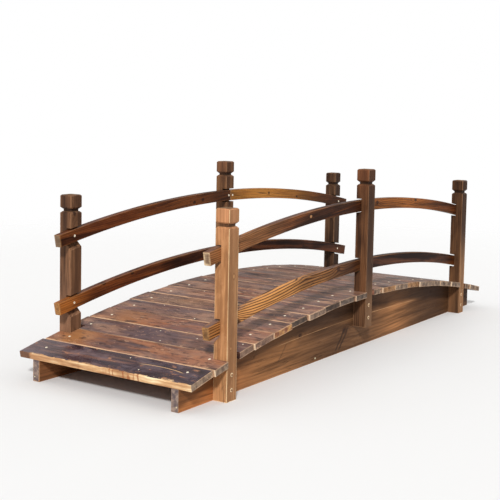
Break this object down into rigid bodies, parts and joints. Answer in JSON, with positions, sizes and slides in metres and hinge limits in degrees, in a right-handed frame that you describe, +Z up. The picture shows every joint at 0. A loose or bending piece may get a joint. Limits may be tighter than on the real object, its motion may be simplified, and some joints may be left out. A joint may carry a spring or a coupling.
{
  "type": "moon bridge",
  "caption": "Small arched timber garden bridge: two arched beams, a deck of cross planks, capped posts outside the beams and curved double rails.",
  "frame": {"origin": "on the ground under the middle of the bridge", "axes": "+X along the bridge, -X being the end that the picture shows nearer; +Y across it; +Z up"},
  "size_m": [3.3184, 1.0759, 1.027],
  "materials": {
    "beam_timber": "oiled softwood, matte, weathered",
    "post_timber": "oiled softwood, satin, worn edges",
    "rail_timber": "dark stained softwood, satin",
    "deck_timber": "weathered stained boards, damp satin",
    "fastener_steel": "dull zinc"
  },
  "bodies": {
    "root": {"beam_left": "beam_timber", "beam_right": "beam_timber", "post_near_left": "post_timber", "post_near_right": "post_timber", "post_mid_left": "post_timber", "post_mid_right": "post_timber", "post_far_left": "post_timber", "post_far_right": "post_timber", "top_rail_near_left": "rail_timber", "top_rail_near_right": "rail_timber", "top_rail_far_left": "rail_timber", "top_rail_far_right": "rail_timber", "low_rail_near_left": "rail_timber", "low_rail_near_right": "rail_timber", "low_rail_far_left": "rail_timber", "low_rail_far_right": "rail_timber", "plank_01": "deck_timber", "plank_02": "deck_timber", "plank_03": "deck_timber", "plank_04": "deck_timber", "plank_05": "deck_timber", "plank_06": "deck_timber", "plank_07": "deck_timber", "plank_08": "deck_timber", "plank_09": "deck_timber", "plank_10": "deck_timber", "plank_11": "deck_timber", "plank_12": "deck_timber", "plank_13": "deck_timber", "plank_14": "deck_timber", "plank_15": "deck_timber", "plank_16": "deck_timber", "plank_17": "deck_timber", "plank_18": "deck_timber", "plank_19": "deck_timber", "plank_20": "deck_timber"}
  },
  "joints": []
}
